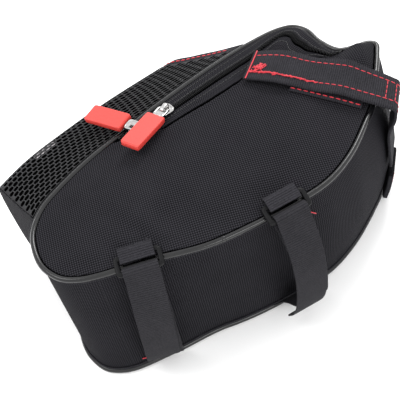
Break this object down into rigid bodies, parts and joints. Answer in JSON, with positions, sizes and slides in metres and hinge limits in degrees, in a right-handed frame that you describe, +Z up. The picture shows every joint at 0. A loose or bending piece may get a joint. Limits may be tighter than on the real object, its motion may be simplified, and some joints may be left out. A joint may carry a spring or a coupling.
{
  "type": "bicycle saddle bag",
  "caption": "Wedge-shaped zipped cloth saddle bag with piped edges, a net side pocket, folded hook-and-loop straps in plastic loops and a seat-post strap, lying on its back panel",
  "frame": {"origin": "on the floor under the middle of the whole bag, straps and pocket included", "axes": "+Z up from the back panel that it lies on to the top panel; +X along the strap edge from the narrow end to the wide front end; +Y from the strap face to the zip and the net pocket"},
  "size_m": [0.2554, 0.182, 0.1087],
  "materials": {
    "cloth": "coarse woven nylon",
    "net": "knitted mesh",
    "webbing": "ribbed webbing",
    "gloss_vinyl": "smooth gloss",
    "black_plastic": "fine grain",
    "chrome": "polished",
    "coral_rubber": "smooth moulded",
    "reflective": "pale reflective film"
  },
  "bodies": {
    "bag": {"piping_top": "gloss_vinyl", "piping_back": "gloss_vinyl", "gusset": "cloth", "back_panel": "cloth", "top_panel": "cloth", "zip_tape_outer": "cloth", "zip_tape_inner": "cloth", "zip_coil": "gloss_vinyl", "slider_front": "chrome", "slider_rear": "chrome", "strap_rear": "webbing", "loop_rear": "black_plastic", "tab_rear": "webbing", "strap_front": "webbing", "loop_front": "black_plastic", "tab_front": "webbing", "seatpost_strap": "webbing", "strap_root": "webbing", "fixed_strip": "webbing", "pocket_net": "net", "pocket_rim": "webbing", "pocket_end": "cloth", "reflective_patch": "reflective"},
    "front_pull": {"pull_front": "chrome", "grip_front": "coral_rubber"},
    "rear_pull": {"pull_rear": "chrome", "grip_rear": "coral_rubber"}
  },
  "joints": [
    {"name": "front_pull_flip", "type": "hinge", "parent": "bag", "child": "front_pull", "pos_m": [-0.0138, 0.02874, 0.10066], "axis": [-0.7133, 0.7009, 0], "range_deg": [0, 130]},
    {"name": "rear_pull_flip", "type": "hinge", "parent": "bag", "child": "rear_pull", "pos_m": [-0.03274, 0.02239, 0.09985], "axis": [0.7314, 0.682, 0], "range_deg": [0, 65]}
  ],
  "couplings": [
    {"joint": "rear_pull_flip", "follows": "front_pull_flip", "ratio": 0.5}
  ]
}
